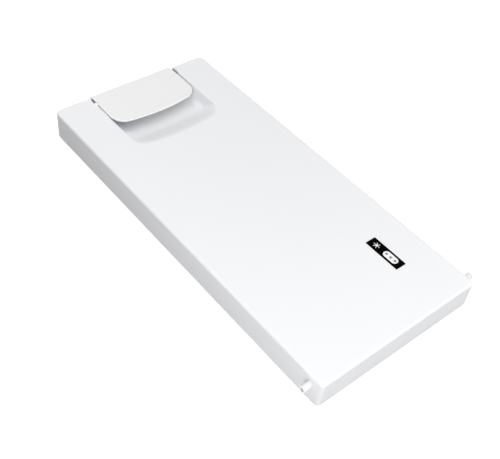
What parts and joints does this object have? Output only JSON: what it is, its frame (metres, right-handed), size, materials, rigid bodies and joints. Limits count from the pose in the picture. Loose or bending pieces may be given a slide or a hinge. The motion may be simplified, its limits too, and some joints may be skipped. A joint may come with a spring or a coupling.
{
  "type": "freezer compartment door",
  "caption": "White freezer-compartment flap door for a refrigerator, with a pull-up flap handle in a finger scoop, side latch, round hinge pins and a rear seal.",
  "frame": {"origin": "centre of the bounding box's bottom, on the plane of the rear seal, with the door lying on its back", "axes": "+X from the handle end to the hinge end, +Y from the lower edge to the upper edge as the door hangs, +Z out of the front face"},
  "size_m": [0.4846, 0.245, 0.0384],
  "materials": {
    "white_abs_shell": "satin",
    "white_abs_handle": "satin",
    "white_liner": "satin",
    "white_pin": "satin",
    "natural_acetal": "satin",
    "seal_pvc": "matte",
    "foam": "matte",
    "badge_black": "satin",
    "spring_steel": "satin",
    "zinc_steel": "satin"
  },
  "bodies": {
    "door": {"front_shell": "white_abs_shell", "rear_panel": "white_liner", "foam_core": "foam", "star_badge": "badge_black", "gasket_lower": "seal_pvc", "gasket_upper": "seal_pvc", "gasket_handle_end": "seal_pvc", "gasket_hinge_end": "seal_pvc", "axle_bush_lower": "natural_acetal", "axle_bush_upper": "natural_acetal", "handle_spring_lower": "spring_steel", "handle_spring_upper": "spring_steel", "hinge_block_lower": "natural_acetal", "hinge_block_upper": "natural_acetal", "pin_cap_lower": "natural_acetal", "pin_cap_upper": "natural_acetal", "hinge_pin_lower": "white_pin", "pin_spring": "spring_steel", "panel_screw_1": "zinc_steel", "panel_screw_2": "zinc_steel", "panel_screw_3": "zinc_steel", "panel_screw_4": "zinc_steel", "panel_screw_5": "zinc_steel", "panel_screw_6": "zinc_steel"},
    "handle": {"handle_flap": "white_abs_handle", "latch_hook": "natural_acetal", "handle_axle": "zinc_steel"},
    "upper_pin": {"hinge_pin_upper": "white_pin"}
  },
  "joints": [
    {"name": "handle_pivot", "type": "hinge", "parent": "door", "child": "handle", "pos_m": [-0.2202, 0, 0.032], "axis": [0, -1, 0], "range_deg": [0, 22], "stiffness_Nm_per_rad": 0.5, "springref_deg": -17.19, "deforming": ["handle_spring_lower", "handle_spring_upper"]},
    {"name": "upper_pin_slide", "type": "slide", "parent": "door", "child": "upper_pin", "axis": [0, -1, 0], "range_m": [0, 0.0105], "stiffness_N_per_m": 500, "springref_m": -0.004, "deforming": ["pin_spring"]}
  ]
}
